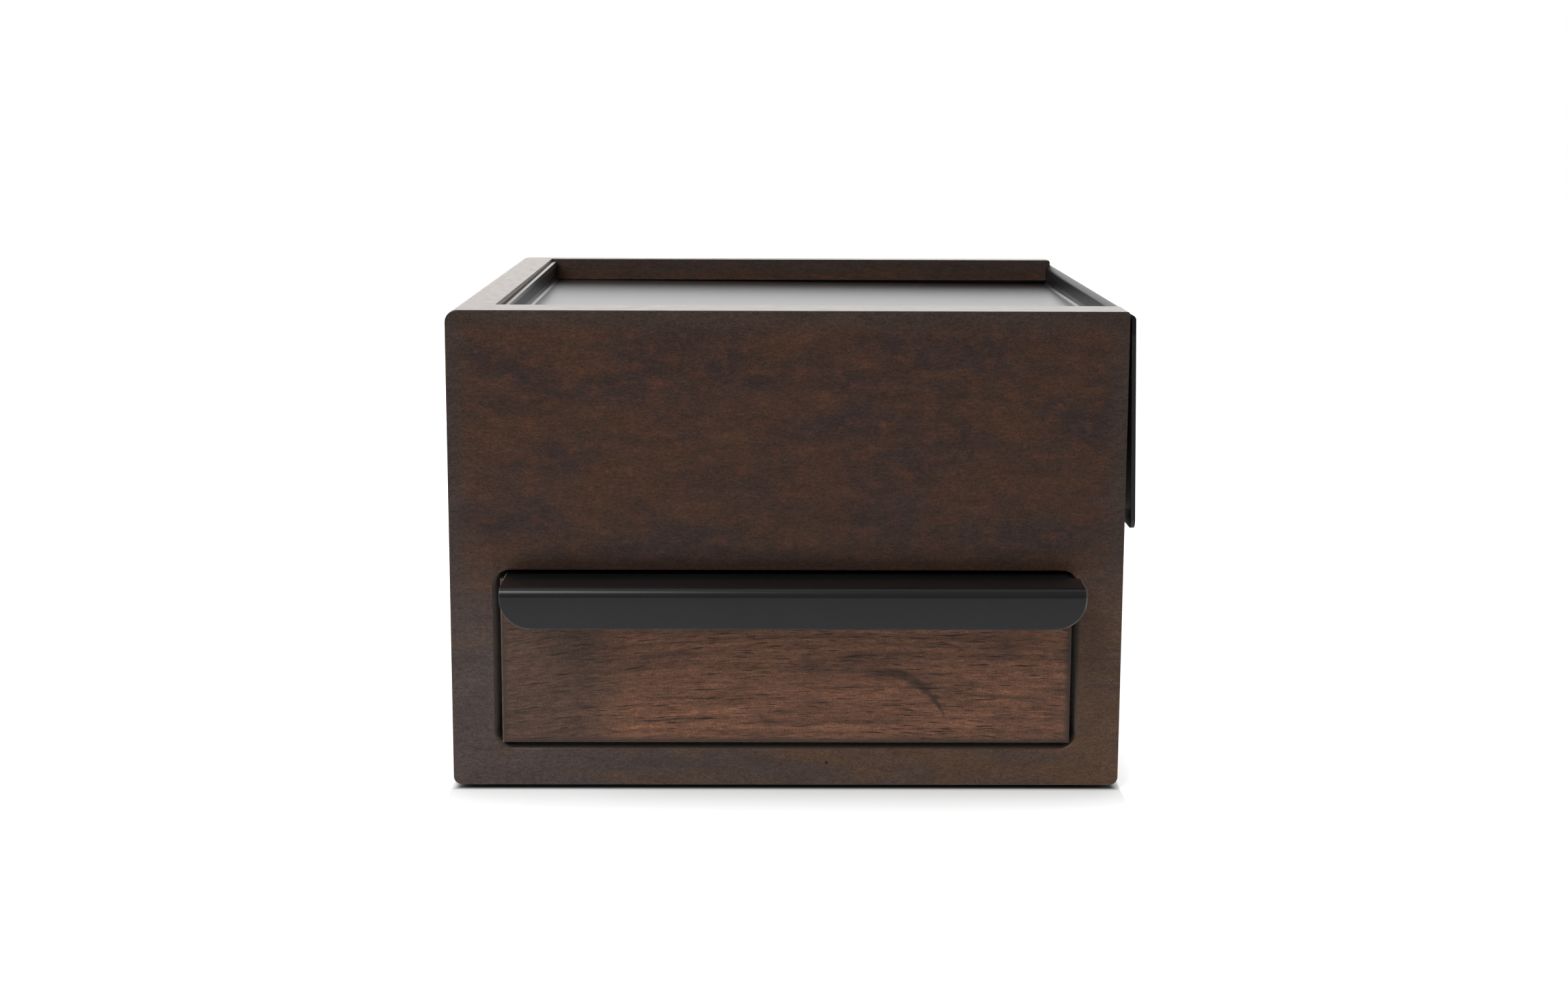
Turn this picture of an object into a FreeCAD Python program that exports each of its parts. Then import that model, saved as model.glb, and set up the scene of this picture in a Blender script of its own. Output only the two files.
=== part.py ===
import FreeCAD, Part
import math
import os

from FreeCAD import Vector

os.makedirs("parts", exist_ok=True)

# Ring box: a stained wooden case with a drawer at the bottom and, on top, a sliding lid folded from one
# sheet of steel. The lid's floor is a shallow tray; it runs in grooves in the front and back panels, passes
# over the lower right wall, and turns down outside it as a side panel that the hand pushes.
#
# Millimetres. +Z is up, the front faces -Y and +X is on the viewer's right. The origin is on the ground
# under the centre of the whole box, with its drawer pull and lid panel counted in.

# ---------------------------------------------------------------- driving dimensions: the wooden case
case_width = 163.0
case_depth = 146.0
case_height = 117.0
front_thickness = 12.0
back_thickness = 5.5
side_thickness = 10.5
long_edge_round = 2.0
top_right_round = 0.8
top_left_round = 3.0
edge_ease = 0.25
base_thickness = 5.0
shelf_thickness = 5.0
shelf_lift = 2.0
board_tongue = 2.5

# feet: self-adhesive rubber discs under the four corners
foot_height = 1.2
foot_radius = 4.5
foot_inset = 6.5

# drawer opening in the front panel, its sides flush with the walls' inner faces
opening_height = 44.6
opening_lift = 9.3
opening_round = 4.2
opening_ease = 0.4

# ---------------------------------------------------------------- driving dimensions: the sliding lid
lid_sheet = 1.0
lid_bend = 1.0
lid_drop = 1.7
flange_height = 5.6
groove_depth = 3.0
groove_height = 2.2
groove_play = 0.5
rail_gap = 0.5
flange_gap = 0.5
slide_clearance = 0.1
hem_radius = 0.35
panel_gap = 0.4
panel_height = 52.2
panel_splay = 1.3
panel_corner = 2.5
crown_end = 80.0

# bumpers: felt discs on the right wall behind the lid's side panel, and on the back panel behind the drawer
panel_bumper_radius = 2.75
panel_bumper_thickness = 1.1
panel_bumper_lift = 1.5
panel_bumper_inset = 9.0
drawer_bumper_radius = 4.0
drawer_bumper_thickness = 1.2
drawer_bumper_inset = 24.4

# ---------------------------------------------------------------- driving dimensions: the drawer
drawer_side_gap = 1.6
drawer_bottom_gap = 1.3
drawer_recess = 0.2
drawer_front_thickness = 10.0
drawer_front_ease = 0.6
drawer_side_thickness = 6.0
drawer_side_drop = 5.0
drawer_back_thickness = 6.0
drawer_bottom_thickness = 3.0
drawer_bottom_lift = 2.5
drawer_tongue = 2.5
runner_width = 8.0
runner_setback = 2.0

# pull: a folded steel angle, screwed down on the top edge of the drawer front
pull_sheet = 1.2
pull_bend = 1.0
pull_top_gap = 1.1
pull_reach = 14.0
pull_inset = 0.15
pull_leaf = 9.8
pull_leaf_round = 7.4
pull_tongue_inset = 1.4
pull_ear_gap = 3.0
pull_offset = 1.45
screw_count = 3
screw_spacing = 50.0
screw_radius = 1.4
screw_head_radius = 2.7
screw_head_depth = 1.3
screw_length = 12.0
screw_clearance = 0.05

# ---------------------------------------------------------------- driving dimensions: linings and ring rolls
lining_thickness = 1.2
compartment_lining_drop = 1.5
drawer_lining_drop = 2.0
roll_count = 7
roll_length = 92.0
roll_height = 22.0
roll_foot_round = 3.0
roll_gap = 0.6
soft_gap = 0.3
divider_thickness = 2.4
divider_height = 26.0

# ---------------------------------------------------------------- places worked out from the sizes above
panel_lean = math.tan(math.radians(panel_splay)) * panel_height
lid_overhang = panel_gap + lid_sheet + panel_lean
x_right = (case_width - lid_overhang) / 2
x_left = x_right - case_width
x_middle = (x_left + x_right) / 2
y_front = (pull_reach - case_depth) / 2
y_back = y_front + case_depth
z_bottom = foot_height
z_top = z_bottom + case_height

x_inner_left = x_left + side_thickness
x_inner_right = x_right - side_thickness
y_inner_front = y_front + front_thickness
y_inner_back = y_back - back_thickness

opening_left = x_inner_left
opening_right = x_inner_right
opening_bottom = z_bottom + opening_lift
opening_top = opening_bottom + opening_height
shelf_bottom = opening_top + shelf_lift
shelf_top = shelf_bottom + shelf_thickness

crown_z = z_top - lid_drop
lid_floor_top = crown_z - flange_height
lid_floor_bottom = lid_floor_top - lid_sheet
groove_bottom = lid_floor_bottom - slide_clearance
groove_top = groove_bottom + groove_height

drawer_left = opening_left + drawer_side_gap
drawer_right = opening_right - drawer_side_gap
drawer_bottom_z = opening_bottom + drawer_bottom_gap
pull_top = opening_top - pull_top_gap
pull_bottom = pull_top - pull_sheet
drawer_face_y = y_front + drawer_recess
drawer_front_back_y = drawer_face_y + drawer_front_thickness
drawer_back_y = y_inner_back - drawer_bumper_thickness - slide_clearance
drawer_side_top = pull_bottom - drawer_side_drop
runner_top = drawer_bottom_z - slide_clearance


# ---------------------------------------------------------------- shapes used by several pieces
same_plane = 1e-6


def write(name, *solids):
    """Write one node; several separate solids make a group."""
    shape = solids[0] if len(solids) == 1 else Part.makeCompound(list(solids))
    shape.exportStep("parts/" + name + ".step")


def box(x0, x1, y0, y1, z0, z1):
    return Part.makeBox(x1 - x0, y1 - y0, z1 - z0, Vector(x0, y0, z0))


def prism(edges, travel):
    return Part.Face(Part.Wire(edges)).extrude(travel)


def rounded_outline(corners, radii):
    """Closed outline through the corners in order, each rounded by its own radius."""
    starts = []
    ends = []
    middles = []
    for i, corner in enumerate(corners):
        before = (corners[i - 1] - corner).normalize()
        after = (corners[(i + 1) % len(corners)] - corner).normalize()
        half_angle = before.getAngle(after) / 2
        reach = radii[i] / math.tan(half_angle)
        bisector = (before + after).normalize()
        starts.append(corner + before * reach)
        ends.append(corner + after * reach)
        middles.append(corner + bisector * (radii[i] / math.sin(half_angle) - radii[i]))
    edges = []
    for i in range(len(corners)):
        if radii[i] > 0:
            edges.append(Part.Arc(starts[i], middles[i], ends[i]).toShape())
        edges.append(Part.LineSegment(ends[i], starts[(i + 1) % len(corners)]).toShape())
    return edges


def upright_plate(x0, x1, y0, y1, z0, z1, radii):
    """Plate facing the front; radii go round from the bottom left corner, the right one next."""
    corners = [Vector(x0, y0, z0), Vector(x1, y0, z0), Vector(x1, y0, z1), Vector(x0, y0, z1)]
    return prism(rounded_outline(corners, radii), Vector(0, y1 - y0, 0))


def side_plate(x0, x1, y0, y1, z0, z1, radii):
    """Plate facing the side; radii go round from the front bottom corner."""
    corners = [Vector(x0, y0, z0), Vector(x0, y1, z0), Vector(x0, y1, z1), Vector(x0, y0, z1)]
    return prism(rounded_outline(corners, radii), Vector(x1 - x0, 0, 0))


def around(x, z, radius, degrees, y):
    angle = math.radians(degrees)
    return Vector(x + radius * math.cos(angle), y, z + radius * math.sin(angle))


def bend(x, z, inner, sheet, start, end, y0, y1):
    """Bent strip of sheet about a line along Y, from one angle to another in the XZ plane."""
    middle = (start + end) / 2
    outer = inner + sheet
    inside = [around(x, z, inner, degrees, y0) for degrees in (start, middle, end)]
    outside = [around(x, z, outer, degrees, y0) for degrees in (end, middle, start)]
    edges = [
        Part.Arc(*inside).toShape(),
        Part.LineSegment(inside[2], outside[0]).toShape(),
        Part.Arc(*outside).toShape(),
        Part.LineSegment(outside[2], inside[0]).toShape(),
    ]
    return prism(edges, Vector(0, y1 - y0, 0))


def joined(pieces):
    return pieces[0].fuse(pieces[1:]).removeSplitter()


def edges_on_y(shape, y, inside=None):
    """Edges that lie in the plane at y; with inside, only those whose middle is within that box."""
    found = []
    for edge in shape.Edges:
        bounds = edge.BoundBox
        flat = abs(bounds.YMin - y) < same_plane and abs(bounds.YMax - y) < same_plane
        if flat and (inside is None or inside.isInside(bounds.Center)):
            found.append(edge)
    return found


def disc_x(x, y, z, radius, thickness):
    return Part.makeCylinder(radius, thickness, Vector(x, y, z), Vector(1, 0, 0))


# ---------------------------------------------------------------- the wooden case
def case_block(y0, y1):
    """Full outline of the case, seen from the front, over a stretch of its depth."""
    radii = [long_edge_round, long_edge_round, top_right_round, top_left_round]
    return upright_plate(x_left, x_right, y0, y1, z_bottom, z_top, radii)


def board(z0, z1):
    """Board across the inside, let into all four panels by its tongue."""
    return box(
        x_inner_left - board_tongue,
        x_inner_right + board_tongue,
        y_inner_front - board_tongue,
        y_inner_back + board_tongue,
        z0,
        z1,
    )


base_board = board(opening_bottom - base_thickness, opening_bottom)
shelf_board = board(shelf_bottom, shelf_top)
boards = base_board.fuse(shelf_board)

lid_way = box(
    x_inner_left,
    x_right + long_edge_round,
    y_inner_front - groove_depth,
    y_inner_back + groove_depth,
    groove_bottom,
    groove_top,
)

# Front panel: covers the ends of both walls, holds the drawer opening and the lid's front groove.
front_panel = case_block(y_front, y_inner_front)
front_panel = front_panel.makeFillet(edge_ease, edges_on_y(front_panel, y_front))
opening = upright_plate(
    opening_left,
    opening_right,
    y_front - edge_ease,
    y_inner_front + edge_ease,
    opening_bottom,
    opening_top,
    [opening_round] * 4,
)
front_panel = front_panel.cut(opening)
opening_zone = FreeCAD.BoundBox(
    opening_left - opening_ease,
    y_front - opening_ease,
    opening_bottom - opening_ease,
    opening_right + opening_ease,
    y_front + opening_ease,
    opening_top + opening_ease,
)
front_panel = front_panel.makeFillet(opening_ease, edges_on_y(front_panel, y_front, opening_zone))
front_panel = front_panel.cut(lid_way).cut(boards)
write("front_panel", front_panel)

# Back panel: its top stands above the tray as a rail, with the lid's rear groove in its inner face.
back_panel = case_block(y_inner_back, y_back)
back_panel = back_panel.makeFillet(edge_ease, edges_on_y(back_panel, y_back))
back_panel = back_panel.cut(lid_way).cut(boards)
write("back_panel", back_panel)

# Side walls: the left one reaches the top, the right one ends under the lid.
walls = case_block(y_inner_front, y_inner_back)
left_wall = walls.common(box(x_left, x_inner_left, y_inner_front, y_inner_back, z_bottom, z_top))
right_wall = walls.common(box(x_inner_right, x_right, y_inner_front, y_inner_back, z_bottom, groove_bottom))
write("left_wall", left_wall.cut(boards))
write("right_wall", right_wall.cut(boards))
write("base_board", base_board)
write("shelf_board", shelf_board)

# Feet
for row, y in (("front", y_front + foot_inset), ("back", y_back - foot_inset)):
    for side, x in (("left", x_left + foot_inset), ("right", x_right - foot_inset)):
        write("foot_" + row + "_" + side, Part.makeCylinder(foot_radius, foot_height, Vector(x, y, 0)))

# Runners: two thin nylon strips on the base board, one under each side of the drawer.
for side, x0 in (("left", drawer_left), ("right", drawer_right - runner_width)):
    strip = box(
        x0,
        x0 + runner_width,
        y_inner_front + runner_setback,
        y_inner_back - runner_setback,
        opening_bottom,
        runner_top,
    )
    write("runner_" + side, strip)

# Felt discs that the closed drawer and the closed lid panel come to rest against
drawer_bumper_z = (drawer_bottom_z + drawer_side_top) / 2
drawer_bumpers = [
    Part.makeCylinder(
        drawer_bumper_radius,
        drawer_bumper_thickness,
        Vector(x, y_inner_back, drawer_bumper_z),
        Vector(0, -1, 0),
    )
    for x in (drawer_left + drawer_bumper_inset, drawer_right - drawer_bumper_inset)
]
write("drawer_bumpers", *drawer_bumpers)
panel_bumper_z = crown_z - panel_height + panel_bumper_lift
panel_bumpers = [
    disc_x(x_right, y, panel_bumper_z, panel_bumper_radius, panel_bumper_thickness)
    for y in (y_front + panel_bumper_inset, y_back - panel_bumper_inset)
]
write("panel_bumpers", *panel_bumpers)


# ---------------------------------------------------------------- linings and rolls of the ring compartment
def line_box(name, x0, x1, y0, y1, z0, z1):
    """Linen-covered boards on the floor and the four walls of a box-shaped space."""
    t = lining_thickness
    write(name + "_floor", box(x0, x1, y0, y1, z0, z0 + t))
    write(name + "_front", box(x0, x1, y0, y0 + t, z0 + t, z1))
    write(name + "_back", box(x0, x1, y1 - t, y1, z0 + t, z1))
    write(name + "_left", box(x0, x0 + t, y0 + t, y1 - t, z0 + t, z1))
    write(name + "_right", box(x1 - t, x1, y0 + t, y1 - t, z0 + t, z1))


compartment_top = groove_bottom - compartment_lining_drop
line_box(
    "compartment_lining",
    x_inner_left,
    x_inner_right,
    y_inner_front,
    y_inner_back,
    shelf_top,
    compartment_top,
)

cushion_z = shelf_top + lining_thickness
rolls_left = x_inner_left + lining_thickness + soft_gap
rolls_right = rolls_left + roll_length
rolls_front = y_inner_front + lining_thickness + soft_gap
rolls_back = y_inner_back - lining_thickness - soft_gap
roll_pitch = (rolls_back - rolls_front + roll_gap) / roll_count
roll_width = roll_pitch - roll_gap
roll_top_round = roll_width / 2 - soft_gap


def ring_roll(y):
    """One foam roll: flat underneath, round on top, lying left to right."""
    radii = [roll_foot_round, roll_foot_round, roll_top_round, roll_top_round]
    return side_plate(rolls_left, rolls_right, y, y + roll_width, cushion_z, cushion_z + roll_height, radii)


for i in range(roll_count):
    write("ring_roll_" + str(i + 1), ring_roll(rolls_front + i * roll_pitch))

divider_left = rolls_right + soft_gap
write(
    "ring_divider",
    box(
        divider_left,
        divider_left + divider_thickness,
        y_inner_front + lining_thickness,
        y_inner_back - lining_thickness,
        cushion_z,
        cushion_z + divider_height,
    ),
)

# ---------------------------------------------------------------- the sliding lid: one folded sheet
hem_x = x_right + panel_gap - hem_radius
hem_z = crown_z - hem_radius - lid_sheet
flange_inner_x = hem_x - hem_radius - lid_sheet
left_flange_x = x_inner_left + flange_gap
bend_z = lid_floor_top + lid_bend
left_bend_x = left_flange_x + lid_sheet + lid_bend
right_bend_x = flange_inner_x - lid_bend
flange_front = y_inner_front + rail_gap
flange_back = y_inner_back - rail_gap
tongue_front = y_inner_front - groove_depth + groove_play
tongue_back = y_inner_back + groove_depth - groove_play

# The side panel is drawn hanging straight down from the hem, then swung out by its splay.
panel = side_plate(
    hem_x + hem_radius,
    hem_x + hem_radius + lid_sheet,
    y_front,
    y_back,
    crown_z - panel_height,
    hem_z,
    [panel_corner, panel_corner, 0, 0],
)
panel.rotate(Vector(hem_x, 0, hem_z), Vector(0, 1, 0), -panel_splay)

lid_tray = joined(
    [
        box(left_bend_x, right_bend_x, tongue_front, tongue_back, lid_floor_bottom, lid_floor_top),
        bend(left_bend_x, bend_z, lid_bend, lid_sheet, 180, 270, flange_front, flange_back),
        box(left_flange_x, left_flange_x + lid_sheet, flange_front, flange_back, bend_z, crown_z),
        bend(right_bend_x, bend_z, lid_bend, lid_sheet, 270, 360, flange_front, flange_back),
        box(flange_inner_x, flange_inner_x + lid_sheet, flange_front, flange_back, bend_z, hem_z),
        bend(hem_x, hem_z, hem_radius, lid_sheet, panel_splay, 180, flange_front, flange_back),
        bend(hem_x, hem_z, hem_radius, lid_sheet, panel_splay, crown_end, y_front, y_back),
        panel,
    ]
)
write("lid_tray", lid_tray)

# ---------------------------------------------------------------- the drawer
drawer_floor_z = drawer_bottom_z + drawer_bottom_lift
drawer_inner_left = drawer_left + drawer_side_thickness
drawer_inner_right = drawer_right - drawer_side_thickness
drawer_inner_back = drawer_back_y - drawer_back_thickness

drawer_bottom = box(
    drawer_inner_left - drawer_tongue,
    drawer_inner_right + drawer_tongue,
    drawer_front_back_y - drawer_tongue,
    drawer_inner_back + drawer_tongue,
    drawer_floor_z,
    drawer_floor_z + drawer_bottom_thickness,
)
write("drawer_bottom", drawer_bottom)

# Pull: its tongue lies on the drawer front and narrows where it enters the opening.
pull_y = y_front - pull_reach
pull_bend_y = pull_y + pull_sheet + pull_bend
pull_bend_z = pull_bottom - pull_bend
pull_left = drawer_left + pull_inset + pull_offset
pull_right = drawer_right - pull_inset + pull_offset
ear_back_y = y_front - pull_ear_gap
leaf_bottom = pull_top - pull_leaf
screw_y = (drawer_face_y + drawer_front_back_y) / 2
screw_places = [x_middle + (i - (screw_count - 1) / 2) * screw_spacing for i in range(screw_count)]

leaf_radii = [pull_leaf_round, pull_leaf_round, 0, 0]
leaf = upright_plate(
    pull_left, pull_right, pull_y, pull_y + pull_sheet, leaf_bottom, pull_bend_z, leaf_radii
)
ears = box(pull_left, pull_right, pull_bend_y, ear_back_y, pull_bottom, pull_top)
tongue = box(
    drawer_left + pull_tongue_inset,
    drawer_right - pull_tongue_inset,
    ear_back_y,
    drawer_front_back_y,
    pull_bottom,
    pull_top,
)
# The fold is made about a line along Y and turned to run along X.
fold = bend(0, 0, pull_bend, pull_sheet, 90, 180, 0, pull_right - pull_left)
fold.rotate(Vector(0, 0, 0), Vector(0, 0, 1), 90)
fold.translate(Vector(pull_right, pull_bend_y, pull_bend_z))


def screw(x, grow):
    """Countersunk wood screw standing in the drawer front's top edge; grow widens it into its own hole."""
    head = Part.makeCone(
        screw_radius + grow,
        screw_head_radius + grow,
        screw_head_depth,
        Vector(x, screw_y, pull_top - screw_head_depth),
    )
    shank = Part.makeCylinder(
        screw_radius + grow,
        screw_length + grow - screw_head_depth,
        Vector(x, screw_y, pull_top - screw_length - grow),
    )
    return head.fuse(shank).removeSplitter()


holes = Part.makeCompound([screw(x, screw_clearance) for x in screw_places])
drawer_pull = joined([leaf, fold, ears, tongue]).cut(holes)
write("drawer_pull", drawer_pull)
write("pull_screws", *[screw(x, 0) for x in screw_places])

drawer_front = box(
    drawer_left, drawer_right, drawer_face_y, drawer_front_back_y, drawer_bottom_z, pull_bottom
)
drawer_front = drawer_front.makeFillet(drawer_front_ease, edges_on_y(drawer_front, drawer_face_y))
drawer_front = drawer_front.cut(drawer_bottom).cut(holes)
write("drawer_front", drawer_front)

for side, x0, x1 in (("left", drawer_left, drawer_inner_left), ("right", drawer_inner_right, drawer_right)):
    plank = box(x0, x1, drawer_front_back_y, drawer_back_y, drawer_bottom_z, drawer_side_top)
    write("drawer_side_" + side, plank.cut(drawer_bottom))
drawer_back = box(
    drawer_inner_left,
    drawer_inner_right,
    drawer_inner_back,
    drawer_back_y,
    drawer_bottom_z,
    drawer_side_top,
)
write("drawer_back", drawer_back.cut(drawer_bottom))

line_box(
    "drawer_lining",
    drawer_inner_left,
    drawer_inner_right,
    drawer_front_back_y,
    drawer_inner_back,
    drawer_floor_z + drawer_bottom_thickness,
    drawer_side_top - drawer_lining_drop,
)
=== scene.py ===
import math

import bmesh
import bpy
from mathutils import Euler, Matrix, Vector, noise


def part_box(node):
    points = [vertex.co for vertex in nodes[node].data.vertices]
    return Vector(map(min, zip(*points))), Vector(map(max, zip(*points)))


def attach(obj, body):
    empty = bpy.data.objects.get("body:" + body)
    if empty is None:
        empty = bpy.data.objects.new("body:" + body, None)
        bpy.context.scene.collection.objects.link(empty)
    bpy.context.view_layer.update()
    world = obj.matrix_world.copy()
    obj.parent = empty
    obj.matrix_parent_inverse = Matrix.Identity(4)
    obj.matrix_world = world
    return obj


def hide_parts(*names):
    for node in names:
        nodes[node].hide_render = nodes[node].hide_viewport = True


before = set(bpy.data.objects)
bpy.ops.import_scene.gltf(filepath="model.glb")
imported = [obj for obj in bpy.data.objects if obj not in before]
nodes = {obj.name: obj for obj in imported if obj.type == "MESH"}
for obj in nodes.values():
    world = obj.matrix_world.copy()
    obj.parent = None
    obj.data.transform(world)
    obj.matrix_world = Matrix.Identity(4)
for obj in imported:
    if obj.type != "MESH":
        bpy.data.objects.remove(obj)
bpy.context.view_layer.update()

# ---------------- Case panels
# Four boards of rubberwood, glued round the inner boards: the front and back cover the two walls' ends.
# They are sanded, rubbed with espresso stain, which the close-grained wood takes in blotches, and
# lacquered. The front has the drawer's opening cut through it.
mm = 0.001


def colour(code):
    """Linear RGBA of an sRGB hex value."""
    channels = [int(code[i : i + 2], 16) / 255 for i in (1, 3, 5)]
    linear = [c / 12.92 if c <= 0.04045 else ((c + 0.055) / 1.055) ** 2.4 for c in channels]
    return (*linear, 1.0)


def add(tree, kind, settings=None, inputs=None, out=0):
    """Adds one node and returns an output socket; an input is a value or another node's socket."""
    node = tree.nodes.new(kind)
    for name, value in (settings or {}).items():
        setattr(node, name, value)
    for key, value in (inputs or {}).items():
        if isinstance(value, bpy.types.NodeSocket):
            tree.links.new(value, node.inputs[key])
        else:
            node.inputs[key].default_value = value
    return node.outputs[out] if node.outputs else None


# Settings that many nodes share: two sums, a mix of two colours, and a ramp with soft ends.
multiply = {"operation": "MULTIPLY"}
subtract = {"operation": "SUBTRACT"}
mix_colours = {"data_type": "RGBA"}
soft_ends = {"interpolation_type": "SMOOTHSTEP"}


def start_material(name):
    """Empty material and its place on the piece, in millimetres."""
    material = bpy.data.materials.new(name)
    material.use_nodes = True
    tree = material.node_tree
    tree.nodes.clear()
    metres = add(tree, "ShaderNodeTexCoord", out="Object")
    place = add(tree, "ShaderNodeVectorMath", {"operation": "SCALE"}, {0: metres, "Scale": 1 / mm})
    return material, tree, place


def end_material(tree, bump, depth, surface):
    """Principled surface with a bump whose full height is depth, in millimetres."""
    normal = add(tree, "ShaderNodeBump", {}, {"Strength": 1.0, "Distance": depth * mm, "Height": bump})
    shader = add(tree, "ShaderNodeBsdfPrincipled", {}, {"Normal": normal, **surface})
    add(tree, "ShaderNodeOutputMaterial", {}, {"Surface": shader})


def patches(tree, place, size, seed, low=0.4, high=0.6, detail=2.0):
    """Soft patches about size (x, y, z) millimetres across: a factor, 0 below low and 1 above high."""
    cells = add(tree, "ShaderNodeVectorMath", {"operation": "DIVIDE"}, {0: place, 1: size})
    cloud = add(
        tree,
        "ShaderNodeTexNoise",
        {"noise_dimensions": "4D"},
        {"Vector": cells, "W": seed, "Scale": 1.0, "Detail": detail},
    )
    return add(tree, "ShaderNodeMapRange", {}, {"Value": cloud, "From Min": low, "From Max": high})


def depths(tree, place, low, high):
    """How deep a place lies inside a box with these corners, in mm along x, y and z."""
    from_low = add(tree, "ShaderNodeVectorMath", subtract, {0: place, 1: low})
    from_high = add(tree, "ShaderNodeVectorMath", subtract, {0: high, 1: place})
    nearer = add(tree, "ShaderNodeVectorMath", {"operation": "MINIMUM"}, {0: from_low, 1: from_high})
    return add(tree, "ShaderNodeSeparateXYZ", {}, {0: nearer}).node.outputs


def near_edge(tree, place, low, high, reach):
    """1 on the edges of a box with these corners, falling to 0 at reach mm from them."""
    inside = depths(tree, place, low, high)
    least = add(tree, "ShaderNodeMath", {"operation": "MINIMUM"}, {0: inside[0], 1: inside[1]})
    most = add(tree, "ShaderNodeMath", {"operation": "MAXIMUM"}, {0: inside[0], 1: inside[1]})
    most = add(tree, "ShaderNodeMath", {"operation": "MINIMUM"}, {0: most, 1: inside[2]})
    second = add(tree, "ShaderNodeMath", {"operation": "MAXIMUM"}, {0: least, 1: most})
    return add(
        tree,
        "ShaderNodeMapRange",
        soft_ends,
        {"Value": second, "From Max": reach, "To Min": 1.0, "To Max": 0.0},
    )


def corners_mm(node):
    """Lowest and highest corner of a node, in millimetres."""
    return [tuple(c / mm for c in corner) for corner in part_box(node)]


# A thin satin film: little shine face on, and a pale haze at a grazing angle.
satin_lacquer = {
    "Specular IOR Level": 0.05,
    "Coat Weight": 0.8,
    "Coat IOR": 1.3,
    "Coat Roughness": 0.3,
    "Sheen Weight": 0.34,
    "Sheen Roughness": 0.4,
    "Sheen Tint": colour("#ffefe2"),
}
# How far in from each panel's edges its tone turns greyer.
grey_rim_reach = 7.0
open_pore = "#241b17"


def espresso_wood(name, node, lay, uneven=None):
    """Stained rubberwood: cloudy dark blotches over faint fibres, with small dark pores and grit.

    lay(along, across) turns a pattern's size to the grain's direction.
    """
    material, tree, place = start_material(name)
    blotch = patches(tree, place, lay(22, 9), seed=1.0, low=0.36, high=0.66, detail=4.0)
    tone = add(
        tree, "ShaderNodeMix", mix_colours, {0: blotch, 6: colour("#432e22"), 7: colour("#332725")}, 2
    )
    glow = patches(tree, place, lay(5, 3), seed=2.0, low=0.48, high=0.85, detail=8.0)
    tone = add(tree, "ShaderNodeMix", mix_colours, {0: glow, 6: tone, 7: colour("#543425")}, 2)
    low, high = corners_mm(node)
    rim = near_edge(tree, place, low, high, grey_rim_reach)
    tone = add(tree, "ShaderNodeMix", mix_colours, {0: rim, 6: tone, 7: colour("#3b302b")}, 2)
    if uneven:
        tone = uneven(tree, place, tone)
    # Wide soft bands, short fibres, the small dark pores between them, and the grit of the stain.
    band = patches(tree, place, lay(9, 2.4), seed=7.0, low=0.3, high=0.7, detail=3.0)
    fibre = patches(tree, place, lay(1.9, 0.55), seed=3.0, low=0.3, high=0.7, detail=3.0)
    pore = patches(tree, place, lay(1.6, 0.3), seed=4.0, low=0.64, high=0.76, detail=1.0)
    grit = patches(tree, place, lay(0.5, 0.27), seed=5.0, low=0.25, high=0.75, detail=3.0)
    shade = add(tree, "ShaderNodeMapRange", {}, {"Value": fibre, "To Min": 0.8, "To Max": 1.17})
    wide = add(tree, "ShaderNodeMapRange", {}, {"Value": band, "To Min": 0.87, "To Max": 1.13})
    speck = add(tree, "ShaderNodeMapRange", {}, {"Value": grit, "To Min": 0.5, "To Max": 1.5})
    shade = add(tree, "ShaderNodeMath", multiply, {0: shade, 1: wide})
    shade = add(tree, "ShaderNodeMath", multiply, {0: shade, 1: speck})
    tone = add(tree, "ShaderNodeVectorMath", {"operation": "SCALE"}, {0: tone, "Scale": shade})
    tone = add(tree, "ShaderNodeMix", mix_colours, {0: pore, 6: tone, 7: colour(open_pore)}, 2)
    film = patches(tree, place, lay(5, 1.6), seed=6.0, low=0.3, high=0.7, detail=3.0)
    film = add(tree, "ShaderNodeMapRange", {}, {"Value": film, "To Min": 0.6, "To Max": 0.98})
    lacquer = {"Roughness": 0.38, **satin_lacquer, "Coat Weight": film}
    end_material(tree, fibre, 0.012, {"Base Color": tone, **lacquer})
    return material


# The opening lies between the walls, from a gap below the drawer's front to a gap above its pull. Its cut
# edges are painted black for the gap's shade, and one pin hole in the rail below is painted black too.
drawer_gap = 1.3
pull_gap = 1.1
cut_margin = 0.3
cut_edge = 0.25
gap_shade_black = "#0e0a08"
panel_low, panel_high = corners_mm("front_panel")
opening_low = (
    corners_mm("left_wall")[1][0] - cut_margin,
    panel_low[1] + cut_margin,
    corners_mm("drawer_front")[0][2] - drawer_gap - cut_margin,
)
opening_high = (
    corners_mm("right_wall")[0][0] + cut_margin,
    panel_high[1] + cut_margin,
    corners_mm("drawer_pull")[1][2] + pull_gap + cut_margin,
)
pin_hole = (8.6, panel_low[1], 6.9)
pin_hole_radius = 0.5
# Round the drawer the face is greyer at the left and browner at the right, and paler below than above:
# the paleness is a painted reflection of the white sheet in front.
greyest_x, brownest_x = -60.0, 66.0
painted_haze_top, painted_haze_full = 60.0, 38.0
painted_haze_share = 0.85
drift_reach = 0.55
face_start, face_full = panel_low[1] + 4.0, panel_low[1] + 0.2
# A band of painted shade, where the pull keeps the light from below off the face, lies along the top of
# the opening and ends short of the panel's sides.
painted_shade_top = opening_high[2] + 7.0
painted_shade_share = 0.7
painted_shade_end, painted_shade_full = 76.0, 58.0


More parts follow.
